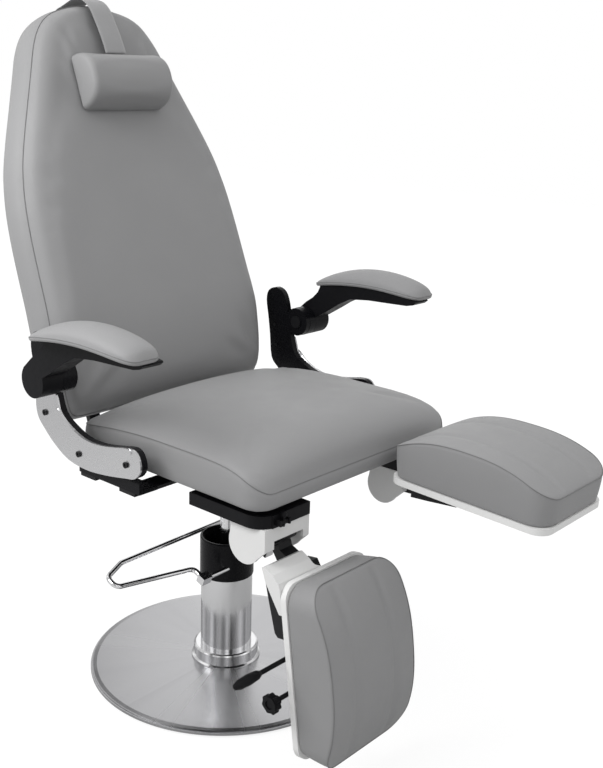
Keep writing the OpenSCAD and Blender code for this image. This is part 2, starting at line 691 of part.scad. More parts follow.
// Side views are drawn as [distance in front of the hinge, distance below it]
module leg_side_plate(x0, x1, outline) side_plate(x0, x1) polygon([for (p = outline) [-p[0], -p[1]]]);

arm_bar_x = [147, 178];     // solid bar of the arm
channel_x = [108, 216];     // tapered channel that it carries
rail_x0 = 150;
rail_w = 25;
rail_n = 28;
rail_t = 18;
rail_s0 = 112;
rail_s1 = 330;
rail_wall = 3;
NECK_BACK = [[16.5, 38], [22, 62], [46, 112]];
BAR_SIDE = concat([[0, 16], [3, 30]], NECK_BACK, [[46, 122], [10, 122], [1, 62], [-13, 34], [-15, 6]]);
CHANNEL_SIDE = [[1, 62], [21.5, 62], [45.5, 112], [45.5, 158], [40, 165], [19, 165], [13, 158], [5, 98]];
CHANNEL_HOLLOW = [[6, 66], [17, 66], [60, 112], [60, 200], [17, 200], [9, 98]];
channel_wall = 4;

module leg_arm(side) color(black)
    leg_place(side) {
        difference() {
            union() {
                cyl_x(17, arm_bar_x[0], arm_bar_x[1]);
                cyl_x(11, housing_in + housing_wall + 0.4, housing_out - housing_wall - 0.4);
                leg_side_plate(arm_bar_x[0], arm_bar_x[1], BAR_SIDE);
            }
            cyl_x(8 + fit, housing_in, housing_out);
        }
        difference() {
            leg_side_plate(channel_x[0], channel_x[1], CHANNEL_SIDE);
            leg_side_plate(channel_x[0] + channel_wall, arm_bar_x[0], CHANNEL_HOLLOW);
            leg_side_plate(arm_bar_x[1], channel_x[1] - channel_wall, CHANNEL_HOLLOW);
            leg_side_plate(arm_bar_x[0] - 1, arm_bar_x[1] + 1,
                           [[9.9, 122], [60, 122], [60, 200], [17, 200]]);
        }
        // rail that the plate slides on
        difference() {
            translate([rail_x0, -rail_n - rail_t, -rail_s1]) cube([rail_w, rail_t, rail_s1 - rail_s0]);
            translate([rail_x0 + rail_wall, -rail_n - rail_t + rail_wall, -rail_s1 - 1])
                cube([rail_w - 2 * rail_wall, rail_t - 2 * rail_wall, 190]);
        }
    }

// Toothed wheel on the arm's hub that the lock holds
module leg_ratchet(side) color(black)
    leg_place(side) difference() {
        union() {
            cyl_x(16, 190, 202);
            for (k = [0 : 17]) rotate([k * 20, 0, 0]) translate([190, -2, 14.5]) cube([12, 4, 5]);
        }
        cyl_x(11, 189, 203);
    }

// White neck from the hinge housing's front out to the back of the plate, with a hollow inner corner
neck_in = 132;
neck_flare = 15;
NECK_SIDE = [[24, 36], [40, 47], [50, 60], [52.3, 68], [52.3, 112], [46, 112], [22, 62], [16.5, 38]];

module leg_neck(side) color(white_paint)
    leg_place(side) difference() {
        leg_side_plate(neck_in, housing_out, NECK_SIDE);
        translate([neck_in, -10, -48]) rotate([90, 0, 0]) cylinder(r = neck_flare, h = 60);
        translate([neck_in - 1, -70, -48]) cube([neck_flare + 1, 60, 20]);
    }

module plate_slab(n0, n1, w, l, r) {
    translate([leg_mid, 0, -plate_s - leg_len / 2])
        rotate([90, 0, 0]) translate([0, 0, n0]) linear_extrude(n1 - n0) round_rect(w, l, r);
}

module leg_plate(side) color(white_paint)
    leg_place(side) plate_slab(plate_n, plate_n + plate_thick, leg_w, leg_len, plate_corner);

// Leg pad: its top seam stands a little outside its foot and arches, and two soft channels run
// down the face
pad_foot_inset = 2;
pad_swell = 5.5;
leg_pad_hw = leg_w / 2 - pad_foot_inset + pad_swell;
leg_pad_hl = leg_len / 2 - pad_foot_inset + pad_swell;
pad_corner = 41.5;
channel_at = 50;
channel_deep = 2;
channel_w = 7;
leg_crown = 4;
leg_rows = corner_rows(-leg_pad_hl, leg_pad_hl, leg_pad_hw, pad_corner, pad_corner, 4, 8);
function leg_seam(y) = leg_pad_t + leg_pad_arch * (1 - pow(min(1, abs(y) / leg_pad_hl), 2.5));
function leg_face(x, y) = let (fade = 1 - pow(abs(y) / leg_pad_hl, 4))
    leg_seam(y) + leg_crown * (1 - pow(abs(x) / lookup(y, leg_rows), 4)) * fade
    - channel_deep * exp(-pow((abs(x) - channel_at) / channel_w, 2)) * fade;

module leg_pad(side) color(grey_cover)
    leg_place(side) translate([leg_mid, -plate_n - plate_thick - 0.1, -plate_s - leg_len / 2])
        rotate([90, 0, 0])
            cushion(leg_rows,
                    [-1, -0.96, -0.86, -0.7, -0.58, -0.48, -0.38, -0.24, 0,
                     0.24, 0.38, 0.48, 0.58, 0.7, 0.86, 0.96, 1],
                    function(x, y) leg_face(x, y),
                    [[1.2, 0.75, 1.2], [2.8, 0.5, 2.8], [4.4, 0.22, 4.4], [5.5, 0, 5.5]],
                    function(y) 0);

bracket_x0 = rail_x0 - 8;
bracket_x1 = rail_x0 + rail_w + 8;
bracket_n = 20;
bracket_s0 = 168;
bracket_s1 = 264;
lever_s = 190;
lever_n = 45;
knob_s = 250;
knob_n = 45;
knob_x = 262;

module slide_bracket(side) color(black)
    leg_place(side) difference() {
        union() {
            translate([bracket_x0, -plate_n, -bracket_s1])
                cube([bracket_x1 - bracket_x0, plate_n - bracket_n, bracket_s1 - bracket_s0]);
            translate([bracket_x0 - 20, -plate_n, -bracket_s1 - 8])
                cube([bracket_x1 - bracket_x0 + 40, 5, bracket_s1 - bracket_s0 + 10]);
        }
        translate([rail_x0 - 0.3, -rail_n - rail_t - 0.3, -bracket_s1 - 10])
            cube([rail_w + 0.6, rail_t + 0.6, 120]);
        translate([0, -knob_n, -knob_s]) cyl_x(4 + fit, rail_x0 + rail_w, bracket_x1 + 21);
        translate([0, -lever_n, -lever_s]) cyl_x(4 + fit, rail_x0 + rail_w, bracket_x1 + 21);
    }

// Release lever of a leg rest: a rod that sticks out sideways with a thicker grip
grip_x = 288;
module leg_lever(side) color(black)
    leg_place(side) translate([0, -lever_n, -lever_s]) {
        cyl_x(4, rail_x0 + rail_w + 0.8, grip_x + 4);
        translate([grip_x, 0, 0]) rotate([0, 90, 0]) rotate_extrude()
            polygon([[0, 0], [4.6, 0], [7.5, 7], [9, 26], [8, 46], [5, 56], [0, 59]]);
    }

// Clamping knob with lobes on its threaded bolt
module leg_knob(side) color(black)
    leg_place(side) translate([0, -knob_n, -knob_s]) {
        cyl_x(4, rail_x0 + rail_w + 0.8, knob_x);
        cyl_x(8, knob_x - 8, knob_x);
        difference() {
            union() {
                cyl_x(14, knob_x, knob_x + 13);
                for (k = [0 : 6]) rotate([k * 360 / 7, 0, 0])
                    translate([0, 0, 12]) cyl_x(5, knob_x + 1.5, knob_x + 11.5);
            }
            cyl_x(8, knob_x + 11, knob_x + 14);
        }
    }

base_mat();
base_plate();
base_cover();
base_collar();
column_tube();
column_sleeve();
pump_cylinder();
ram_gland();
pedal_axle();
pedal_clamps();
pedal_loop();
lift_ram();
ram_head();
swivel_bearing();
swivel_plate();
seat_frame();
seat_board();
seat_cushion();
mount_box(-1);  // mount_box_right
mount_box(1);  // mount_box_left
leg_housing(-1);  // leg_housing_right
leg_housing(1);  // leg_housing_left
leg_hinge_pins();
arm_bracket(-1);  // arm_bracket_right
arm_bracket(1);  // arm_bracket_left
arm_cover(-1);  // arm_cover_right
arm_cover(1);  // arm_cover_left
arm_screws();
arm_pivot_pins();
arm_body(-1);  // arm_body_right
arm_body(1);  // arm_body_left
arm_pad(-1);  // arm_pad_right
arm_pad(1);  // arm_pad_left
back_hinge_pin();
back_frame();
back_board();
back_cushion();
pillow_strap();
head_pillow();
pillow_weight();
back_spring_cylinder();
back_spring_rod();
release_lever(-1);  // release_lever_right
release_lever(1);  // release_lever_left
leg_arm(-1);  // leg_arm_right
leg_arm(1);  // leg_arm_left
leg_ratchet(-1);  // leg_ratchet_right
leg_ratchet(1);  // leg_ratchet_left
leg_neck(-1);  // leg_neck_right
leg_neck(1);  // leg_neck_left
leg_plate(-1);  // leg_plate_right
leg_plate(1);  // leg_plate_left
leg_pad(-1);  // leg_pad_right
leg_pad(1);  // leg_pad_left
slide_bracket(-1);  // slide_bracket_right
slide_bracket(1);  // slide_bracket_left
leg_lever(-1);  // leg_lever_right
leg_lever(1);  // leg_lever_left
leg_knob(-1);  // leg_knob_right
leg_knob(1);  // leg_knob_left
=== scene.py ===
# %% [markdown]
# A treatment chair for foot care, dressed for its portrait
#
# The chair arrives as solids in metres that already have their real sizes and places. This notebook
# gives them their finishes, swaps the plain soft solids for upholstery with seams, and photographs
# the result. Every step says what the real piece is, how it could be made, and why this way was chosen.

# %% Load the solid model
import math

import bpy
import numpy as np
from mathutils import Matrix, Vector


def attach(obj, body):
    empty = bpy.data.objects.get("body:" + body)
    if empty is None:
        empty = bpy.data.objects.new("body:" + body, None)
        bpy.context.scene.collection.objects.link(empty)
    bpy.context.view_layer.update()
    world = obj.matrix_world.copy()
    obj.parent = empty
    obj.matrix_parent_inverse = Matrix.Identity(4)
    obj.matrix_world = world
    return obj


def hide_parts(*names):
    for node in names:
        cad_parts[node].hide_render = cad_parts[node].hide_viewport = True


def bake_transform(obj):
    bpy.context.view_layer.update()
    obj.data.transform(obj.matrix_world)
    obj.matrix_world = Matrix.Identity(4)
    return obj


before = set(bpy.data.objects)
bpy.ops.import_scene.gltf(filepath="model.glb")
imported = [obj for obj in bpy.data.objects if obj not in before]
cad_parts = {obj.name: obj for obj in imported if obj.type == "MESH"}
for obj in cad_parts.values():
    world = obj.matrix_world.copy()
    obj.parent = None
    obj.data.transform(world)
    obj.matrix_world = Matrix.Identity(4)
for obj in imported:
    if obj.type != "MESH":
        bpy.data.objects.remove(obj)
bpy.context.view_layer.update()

# %% [markdown]
# The camera stands in front of the chair's right-hand corner, a little above the seat, as a product
# photographer would. Its place came from fitting a pinhole camera to the round base and the column.
# Building the camera's axes from azimuth, pitch and roll keeps the three angles readable; typing in
# a rotation matrix would hide them.

# %% Camera
CAMERA_PLACE = Vector((-1.3819, -1.3823, 1.1539))
CAMERA_AZIMUTH = math.radians(-49.01)
CAMERA_PITCH = math.radians(16.22)
CAMERA_ROLL = math.radians(1.74)
LENS = 50.52
LONG_SIDE = 36.0


def camera_axes(azimuth, pitch, roll):
    """Right, up and forward directions of the camera."""
    forward = Vector((-math.sin(azimuth) * math.cos(pitch),
                      math.cos(azimuth) * math.cos(pitch),
                      -math.sin(pitch)))
    level = Vector((math.cos(azimuth), math.sin(azimuth), 0))
    over = level.cross(forward)
    right = math.cos(roll) * level + math.sin(roll) * over
    return right, math.cos(roll) * over - math.sin(roll) * level, forward


right, over, forward = camera_axes(CAMERA_AZIMUTH, CAMERA_PITCH, CAMERA_ROLL)
lens = bpy.data.cameras.new("portrait_camera")
lens.lens = LENS
lens.sensor_width = LONG_SIDE
camera = bpy.data.objects.new("portrait_camera", lens)
turned = Matrix((right, over, -forward)).transposed().to_4x4()
camera.matrix_world = Matrix.Translation(CAMERA_PLACE) @ turned
bpy.context.collection.objects.link(camera)
bpy.context.scene.camera = camera
bpy.context.scene.view_settings.view_transform = "Standard"
print("camera at", tuple(round(v, 3) for v in CAMERA_PLACE))

# %% [markdown]
# A node tree is easier to read when each node takes one line. This small helper makes a node, fills
# in its sockets and links whatever it is given, so a material reads like a recipe.


# %% A short way to write materials
def add(tree, kind, settings=None, **inputs):
    """Adds a node; an input that is a socket gets linked, anything else is set."""
    n = tree.nodes.new(kind)
    for key, value in (settings or {}).items():
        setattr(n, key, value)
    for key, value in inputs.items():
        numbered = key[0] == "i" and key[1:].isdigit()
        socket = n.inputs[int(key[1:]) if numbered else key.replace("_", " ")]
        if isinstance(value, bpy.types.NodeSocket):
            tree.links.new(value, socket)
        else:
            socket.default_value = value
    return n


def material(name, color, roughness, metallic=0.0, **more):
    """A surface with one Principled shader; more holds further constant sockets."""
    m = bpy.data.materials.new(name)
    m.use_nodes = True
    shader = m.node_tree.nodes["Principled BSDF"]
    shader.inputs["Base Color"].default_value = (*color, 1)
    shader.inputs["Roughness"].default_value = roughness
    shader.inputs["Metallic"].default_value = metallic
    for key, value in more.items():
        shader.inputs[key.replace("_", " ")].default_value = value
    return m, m.node_tree, shader


def place(tree):
    """Coordinates fixed to the piece, in metres."""
    return add(tree, "ShaderNodeTexCoord").outputs["Object"]


def noise(tree, vector, scale, detail=3.0, rough=0.5):
    """Soft random values between 0 and 1."""
    n = add(tree, "ShaderNodeTexNoise", Vector=vector, Scale=scale, Detail=detail, Roughness=rough)
    return n.outputs["Fac"]


def remap(tree, value, start, end, low, high):
    """Values from start to end, stretched to run from low to high."""
    n = add(tree, "ShaderNodeMapRange", Value=value, From_Min=start, From_Max=end, To_Min=low, To_Max=high)
    return n.outputs["Result"]


def spread(tree, value, low, high):
    """Noise gathers round a half; this stretches it to run from low to high."""
    return remap(tree, value, 0.3, 0.7, low, high)


def gloss(tree, shader, value, low, high):
    """Roughness that wanders from low to high with a noise."""
    tree.links.new(spread(tree, value, low, high), shader.inputs["Roughness"])


def shaded(color, factor):
    """The same colour, darker or lighter."""
    return tuple(min(1, c * factor) for c in color)


def bump(tree, shader, height, depth, strength=1.0):
    """Raises the surface by height times depth, on top of any relief it already has."""
    n = add(tree, "ShaderNodeBump", Height=height, Distance=depth, Strength=strength)
    below = shader.inputs["Normal"]
    if below.is_linked:
        tree.links.new(below.links[0].from_socket, n.inputs["Normal"])
    tree.links.new(n.outputs["Normal"], below)


def tint(tree, shader, value, dark, light):
    """Base colour that runs from dark to light with value."""
    mix = add(tree, "ShaderNodeMix", {"data_type": "RGBA"}, i0=value)
    mix.inputs[6].default_value = (*dark, 1)
    mix.inputs[7].default_value = (*light, 1)
    tree.links.new(mix.outputs[2], shader.inputs["Base Color"])


print("material helpers ready")

# %% [markdown]
# The cover is a grey vinyl with a leather grain. Seen close, the grain is a net of fine creases
# round pebbles one or two millimetres across. A Voronoi pattern's distance to the nearest edge gives
# that net, and a slow noise shifts tone and gloss a little, so a large panel isn't one flat grey.

# %% Upholstery cover
COVER_GREY = (0.233, 0.233, 0.236)
# The seam's welt is a darker copy of the cover: painted shade for the groove it lies in.
SEAM_PAINTED_SHADE = 0.66
# The strap is a lighter copy of the same vinyl: painted light.
STRAP_PAINTED_LIGHT = 1.12
PEBBLES_PER_METRE = 620.0


def make_cover(name, grey):
    """Vinyl: pebbled close by, softly uneven from a step away."""
    m, tree, shader = material(name, grey, 0.5, Specular_IOR_Level=0.42,
                               Sheen_Weight=0.06, Sheen_Roughness=0.4)
    at = place(tree)
    warp = add(tree, "ShaderNodeTexNoise", Vector=at, Scale=240.0, Detail=2.0).outputs["Color"]
    bent = add(tree, "ShaderNodeMix", {"data_type": "VECTOR"}, i0=0.004)
    tree.links.new(at, bent.inputs[4])
    tree.links.new(warp, bent.inputs[5])
    cells = add(tree, "ShaderNodeTexVoronoi", {"feature": "DISTANCE_TO_EDGE"},
                Vector=bent.outputs[1], Scale=PEBBLES_PER_METRE)
    bump(tree, shader, remap(tree, cells.outputs["Distance"], 0.0, 0.25, 0.0, 1.0), 0.00012)
    bump(tree, shader, noise(tree, at, 95.0), 0.0002, 0.5)
    tint(tree, shader, noise(tree, at, 5.0, 2.0), shaded(grey, 0.94), shaded(grey, 1.06))
    gloss(tree, shader, noise(tree, at, 22.0), 0.46, 0.56)
    return m


cover = make_cover("grey_cover", COVER_GREY)
seam_welt_painted_shade = make_cover("seam_painted_shade_cover", shaded(COVER_GREY, SEAM_PAINTED_SHADE))
strap_painted_light_cover = make_cover("strap_painted_light_cover", shaded(COVER_GREY, STRAP_PAINTED_LIGHT))
print("cover, seam and strap materials made")

# %% [markdown]
# The base's cover is brushed in circles, so its bright streaks run outwards from the column; its colour
# also carries painted reflection streaks, lighter and darker round the column. The tube and collar are
# turned and polished, with faint rings. The pedal is plain chrome, pins and bearing are machined steel,
# and the arm covers are satin aluminium. A scratch runs one way only: noise that is fed nothing but the
# distance from the axis has no choice but to draw circles.


# %% Metals
def bearing(tree, xyz):
    """Angle round the upright axis."""
    n = add(tree, "ShaderNodeMath", {"operation": "ARCTAN2"}, i0=xyz.outputs["Y"], i1=xyz.outputs["X"])
    return n.outputs["Value"]


def polar(tree, at):
    """Distance from the column's axis, angle round it and height."""
    xyz = add(tree, "ShaderNodeSeparateXYZ", Vector=at)
    flat = add(tree, "ShaderNodeCombineXYZ", X=xyz.outputs["X"], Y=xyz.outputs["Y"], Z=0.0)
    radius = add(tree, "ShaderNodeVectorMath", {"operation": "LENGTH"}, i0=flat.outputs["Vector"])
    return radius.outputs["Value"], bearing(tree, xyz), xyz.outputs["Z"]


def along_one(tree, value):
    """A place that changes with one value only, so that noise there makes lines."""
    return add(tree, "ShaderNodeCombineXYZ", X=value, Y=0.0, Z=0.0).outputs["Vector"]


def make_disc_steel():
    """Steel brushed in circles round the column, with painted reflection streaks in its colour."""
    m, tree, shader = material("brushed_disc", (0.45, 0.45, 0.46), 0.27, 1.0, Anisotropic=0.5)
    radius, angle = polar(tree, place(tree))[:2]
    bump(tree, shader, noise(tree, along_one(tree, radius), 2600.0, 4.0, 0.7), 0.00003)
    painted_streaks_and_gloss = spread(tree, noise(tree, along_one(tree, angle), 1.7, 2.0), 0.0, 1.0)
    gloss(tree, shader, painted_streaks_and_gloss, 0.22, 0.28)
    # Base colour lighter and darker round the column: painted reflection streaks.
    tint(tree, shader, painted_streaks_and_gloss, (0.4, 0.4, 0.41), (0.5, 0.5, 0.51))
    tangent = add(tree, "ShaderNodeTangent", {"direction_type": "RADIAL", "axis": "Z"})
    tree.links.new(tangent.outputs["Tangent"], shader.inputs["Tangent"])
    return m


def make_turned_steel():
    """Steel turned on a lathe and polished, with faint rings up its height."""
    m, tree, shader = material("turned_tube", (0.78, 0.78, 0.79), 0.13, 1.0)
    angle, height = polar(tree, place(tree))[1:]
    bump(tree, shader, noise(tree, along_one(tree, height), 1900.0, 3.0, 0.7), 0.00001)
    gloss(tree, shader, noise(tree, along_one(tree, angle), 3.0), 0.09, 0.19)
    return m


def make_bright(name, color, roughness):
    """Plain metal without a grain."""
    m, tree, shader = material(name, color, roughness, 1.0)
    at = place(tree)
    gloss(tree, shader, noise(tree, at, 60.0), roughness * 0.85, roughness * 1.15)
    bump(tree, shader, noise(tree, at, 700.0), 0.000004)
    return m


disc_steel = make_disc_steel()
turned_steel = make_turned_steel()
chrome = make_bright("chrome", (0.8, 0.8, 0.81), 0.07)
machined = make_bright("machined_steel", (0.5, 0.5, 0.51), 0.3)
satin_aluminium = make_bright("satin_aluminium", (0.66, 0.66, 0.67), 0.27)
print("metals made")

# %% [markdown]
# The hinge housings and leg rest trays are white enamel and moulded shell: smooth, a little glossy,
# with the slight orange peel of sprayed paint. The blacks come in two kinds, moulded plastic with a
# fine spark-eroded texture, and painted steel that is smoother. Rubber is the dullest of all.


# %% Paints and plastics
def make_paint(name, color, roughness, peel, coat=0.0):
    """Sprayed paint; peel is the depth of its orange peel in metres."""
    m, tree, shader = material(name, color, roughness, Coat_Weight=coat, Coat_Roughness=0.15,
                               Specular_IOR_Level=0.25)
    at = place(tree)
    bump(tree, shader, noise(tree, at, 420.0, 2.0), peel)
    tint(tree, shader, noise(tree, at, 9.0, 2.0), shaded(color, 0.95), shaded(color, 1.04))
    gloss(tree, shader, noise(tree, at, 35.0), roughness * 0.85, roughness * 1.2)
    return m


def make_moulded(name, color, roughness):
    """Moulded plastic with a fine, even texture."""
    m, tree, shader = material(name, color, roughness, Specular_IOR_Level=0.13)
    at = place(tree)
    bump(tree, shader, noise(tree, at, 1500.0, 4.0, 0.7), 0.00008)
    tint(tree, shader, noise(tree, at, 14.0), shaded(color, 0.8), shaded(color, 1.3))
    gloss(tree, shader, noise(tree, at, 120.0), roughness * 0.85, roughness * 1.15)
    return m


white_enamel = make_paint("white_enamel", (0.62, 0.62, 0.617), 0.34, 0.00002, 0.15)
white_shell = make_paint("white_shell", (0.66, 0.66, 0.656), 0.3, 0.00001, 0.1)
black_steel = make_paint("black_steel", (0.006, 0.006, 0.007), 0.36, 0.00003)
black_moulded = make_moulded("black_moulded", (0.005, 0.005, 0.006), 0.42)
black_gloss = make_moulded("black_gloss", (0.004, 0.004, 0.005), 0.27)
rubber = make_moulded("rubber", (0.02, 0.02, 0.02), 0.8)
print("paints and plastics made")

# %% [markdown]
# Solid pieces keep their own meshes. Each gets its finish here and a narrow bevel as a modifier,
# because no real edge is knife sharp and it is the small round on an edge that catches the light.

# %% Finish for each solid piece
FINISHES = {
    disc_steel: ["base_plate", "base_cover"],
    turned_steel: ["base_collar", "column_tube", "lift_ram", "pump_cylinder", "back_spring_rod"],
    chrome: ["pedal_axle", "pedal_clamps", "pedal_loop"],
    machined: ["swivel_bearing", "leg_hinge_pins", "back_hinge_pin"],
    satin_aluminium: ["arm_cover"],
    white_enamel: ["leg_housing", "leg_neck"],
    white_shell: ["leg_plate"],
    black_steel: ["arm_pivot_pins", "ram_head", "swivel_plate", "seat_frame", "back_frame",
                  "back_spring_cylinder", "leg_arm", "leg_ratchet", "arm_screws"],
    black_moulded: ["ram_gland", "seat_board", "mount_box", "back_board", "release_lever", "slide_bracket",
                    "leg_lever", "leg_knob", "arm_body"],
    black_gloss: ["column_sleeve", "arm_bracket"],
    rubber: ["base_mat"],
}
NO_BEVEL = ("leg_knob", "release_lever", "leg_lever")
BEVEL = 0.0007
SHARP_EDGE = math.radians(40)


def nodes_called(stem):
    """The solids with that name, or that name and a side."""
    return [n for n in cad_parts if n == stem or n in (stem + "_right", stem + "_left")]


def finish_solid(o, m, width):
    """Gives a solid its material and rounds its sharp edges by width."""
    o.data.materials.clear()
    o.data.materials.append(m)
    if width:
        edge = o.modifiers.new("small_round", "BEVEL")
        edge.width = width
        edge.segments = 2
        edge.limit_method = "ANGLE"
        edge.angle_limit = SHARP_EDGE


for m, stems in FINISHES.items():
    for stem in stems:
        for name in nodes_called(stem):
            finish_solid(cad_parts[name], m, 0 if stem in NO_BEVEL else BEVEL)
print("finished", sum(len(s) for s in FINISHES.values()), "kinds of solid piece")

# %% [markdown]
# An upholstered pad is foam on a board, with a top panel sewn to a strip that runs round the side.
# One way to model it is to round a box, but then there is no seam to follow. Here the seam comes
# first: a closed line round the pad. The top panel is a grid stretched between four stretches of
# that line, so its quads stay even, also in the round corners, and the side strip hangs from it.


# %% Helpers for closed outlines
def resample(points, count):
    """count + 1 points spaced evenly along an open line."""
    pts = np.asarray(points, float)
    run = np.concatenate([[0], np.cumsum(np.linalg.norm(np.diff(pts, axis=0), axis=1))])
    at = np.linspace(0, run[-1], count + 1)
    return np.stack([np.interp(at, run, pts[:, k]) for k in range(pts.shape[1])], 1)


def rounded(y0, y1, half, r0, r1, steps=12):
    """Half outline of a pad from its middle front to its middle rear, with round corners."""
    a = np.linspace(0, math.pi / 2, steps)
    front = [(half - r0 + r0 * math.sin(t), y0 + r0 - r0 * math.cos(t)) for t in a]
    rear = [(half - r1 + r1 * math.cos(t), y1 - r1 + r1 * math.sin(t)) for t in a]
    return [(0, y0)] + front + rear + [(0, y1)]


def four_sides(half_line, low, high, across, along):
    """Front, right, rear and left edges of a pad, whose corners are points low and high of its half line."""
    line = np.asarray(half_line, float)
    mirror = line * (-1, 1)
    front = np.concatenate([mirror[low::-1], line[1:low + 1]])
    rear = np.concatenate([mirror[high:], line[-2:high - 1:-1]])
    side = line[low:high + 1]
    return (resample(front, across), resample(side, along),
            resample(rear, across), resample(side * (-1, 1), along))


def patch(front, right_side, rear, left_side):
    """Grid between four edges, blended from all of them."""
    n, m = len(front) - 1, len(right_side) - 1
    u = np.linspace(0, 1, n + 1)[None, :, None]
    v = np.linspace(0, 1, m + 1)[:, None, None]
    lengthways = (1 - v) * front[None] + v * rear[None]
    crossways = (1 - u) * left_side[:, None] + u * right_side[:, None]
    corner = (1 - u) * (1 - v) * front[0] + u * (1 - v) * front[-1] + (1 - u) * v * rear[0] + u * v * rear[-1]
    return lengthways + crossways - corner


print("outline helpers ready")

# %% [markdown]
# From the grid, a pad is built in one go: the top panel, rings of points down the side strip, and an
# underside. Each ring is the seam line moved in or out along its own normal, so the strip can swell
# in the middle and tuck under at the bottom. The seam's own points are handed back for the welt, and
# those of the underside so that they can be held still.


# %% A pad with a seam
UNDERSIDE_INSET = 0.93


def rim_of(m, n):
    """Grid places of the seam, anticlockwise seen from above."""
    return ([(0, j) for j in range(n)] + [(i, n) for i in range(m)]
            + [(m, j) for j in range(n, 0, -1)] + [(i, 0) for i in range(m, 0, -1)])


def loop_normals(loop):
    """Outward normals in the plane of a closed line."""
    ahead = np.roll(loop, -1, 0) - np.roll(loop, 1, 0)
    out = np.stack([ahead[:, 1], -ahead[:, 0]], 1)
    return out / np.linalg.norm(out, axis=1)[:, None]


def width_at(half_line):
    """Function that gives the half width of an outline at each place along it."""
    line = np.asarray(half_line, float)[1:-1]
    order = np.argsort(line[:, 1], kind="stable")
    return lambda y: np.maximum(np.interp(y, line[order, 1], line[order, 0]), 0.004)


def build_pad(name, grid, top, rings, floor, ends=1.0):
    """Closed mesh in the pad's own frame, with the seam's points and those that stay still.

    rings are (metres outwards, share of the side's height); ends scales them at front and rear.
    """
    m, n = grid.shape[0] - 1, grid.shape[1] - 1
    rim = rim_of(m, n)
    heights = top(grid[:, :, 0], grid[:, :, 1])
    points = [(*grid[i, j], heights[i, j]) for i in range(m + 1) for j in range(n + 1)]
    key = {(i, j): i * (n + 1) + j for i in range(m + 1) for j in range(n + 1)}
    faces = [(key[i, j], key[i, j + 1], key[i + 1, j + 1], key[i + 1, j]) for i in range(m) for j in range(n)]
    loop = np.array([grid[i, j] for i, j in rim])
    out = loop_normals(loop) * (1, ends)
    above = [key[p] for p in rim]
    count = len(rim)
    base = floor(loop[:, 1])
    high = np.array([heights[p] for p in rim])
    for shift, share in rings:
        ring = [len(points) + k for k in range(count)]
        points += [(*(loop[k] + shift * out[k]), base[k] + share * (high[k] - base[k])) for k in range(count)]
        faces += [(above[k], ring[k], ring[(k + 1) % count], above[(k + 1) % count]) for k in range(count)]
        above = ring
    middle = grid.mean((0, 1))
    under = {}
    for i in range(1, m):
        for j in range(1, n):
            under[i, j] = len(points)
            spot = middle + (grid[i, j] - middle) * UNDERSIDE_INSET
            points.append((*spot, float(floor(np.array([spot[1]]))[0])))
    under.update(zip(rim, above))
    faces += [(under[i, j], under[i + 1, j], under[i + 1, j + 1], under[i, j + 1])
              for i in range(m) for j in range(n)]
    mesh = bpy.data.meshes.new(name)
    mesh.from_pydata([Vector(p) for p in points], [], faces)
    mesh.validate()
    o = bpy.data.objects.new(name, mesh)
    bpy.context.collection.objects.link(o)
    top_count = (m + 1) * (n + 1)
    still = [v for v in range(len(points)) if v >= top_count + count * len(rings)] + above
    return o, [key[p] for p in rim], still


print("pad builder ready")

# %% [markdown]
# Foam pushes a cover outwards, and the seam holds it in. Blender's cloth can do the same: the closed
# pad, whose crown is already drawn, is inflated while its seam and its underside are pinned. The last
# few millimetres of swelling come out of that, with the soft change near the corners that is hard
# to draw.


# %% Inflate a pad
FRAMES = 20


def inflate(o, pinned, pressure, cap, stiffness=18.0):
    """Cloth under pressure for a few frames, then each point's move is limited and kept."""
    rest = np.array([v.co for v in o.data.vertices])
    pins = o.vertex_groups.new(name="pins")
    pins.add(sorted(set(pinned)), 1.0, "REPLACE")
    cloth = o.modifiers.new("foam", "CLOTH")
    s = cloth.settings
    s.vertex_group_mass = "pins"
    s.use_pressure = True
    s.uniform_pressure_force = pressure
    s.mass = 0.3
    s.tension_stiffness = stiffness
    s.compression_stiffness = stiffness
    s.shear_stiffness = stiffness / 2
    s.bending_stiffness = 2.0
    s.effector_weights.gravity = 0.0
    cloth.collision_settings.use_self_collision = False
    cloth.point_cache.frame_start = 1
    cloth.point_cache.frame_end = FRAMES
    scene = bpy.context.scene
    for f in range(1, FRAMES + 1):
        scene.frame_set(f)
    shown = o.evaluated_get(bpy.context.evaluated_depsgraph_get()).data
    moved = np.array([v.co for v in shown.vertices])
    scene.frame_set(1)
    o.modifiers.remove(cloth)
    o.vertex_groups.remove(pins)
    step = moved - rest
    far = np.linalg.norm(step, axis=1)
    limit = cap * np.tanh(far / cap)
    step *= (limit / np.maximum(far, 1e-9))[:, None]
    o.data.vertices.foreach_set("co", (rest + step).ravel())
    o.data.update()
    return float(limit.max())


print("inflation ready")

# %% [markdown]
# A seam is a groove with a thin welt in it. A bevelled curve would draw the welt, but a small mesh of
# our own keeps its point count low and needs no conversion. The groove is made by sinking the seam's
# points, and a partial crease keeps it narrow when the cover is smoothed. The welt is a darker copy of
# the cover, which paints the shade in the groove.


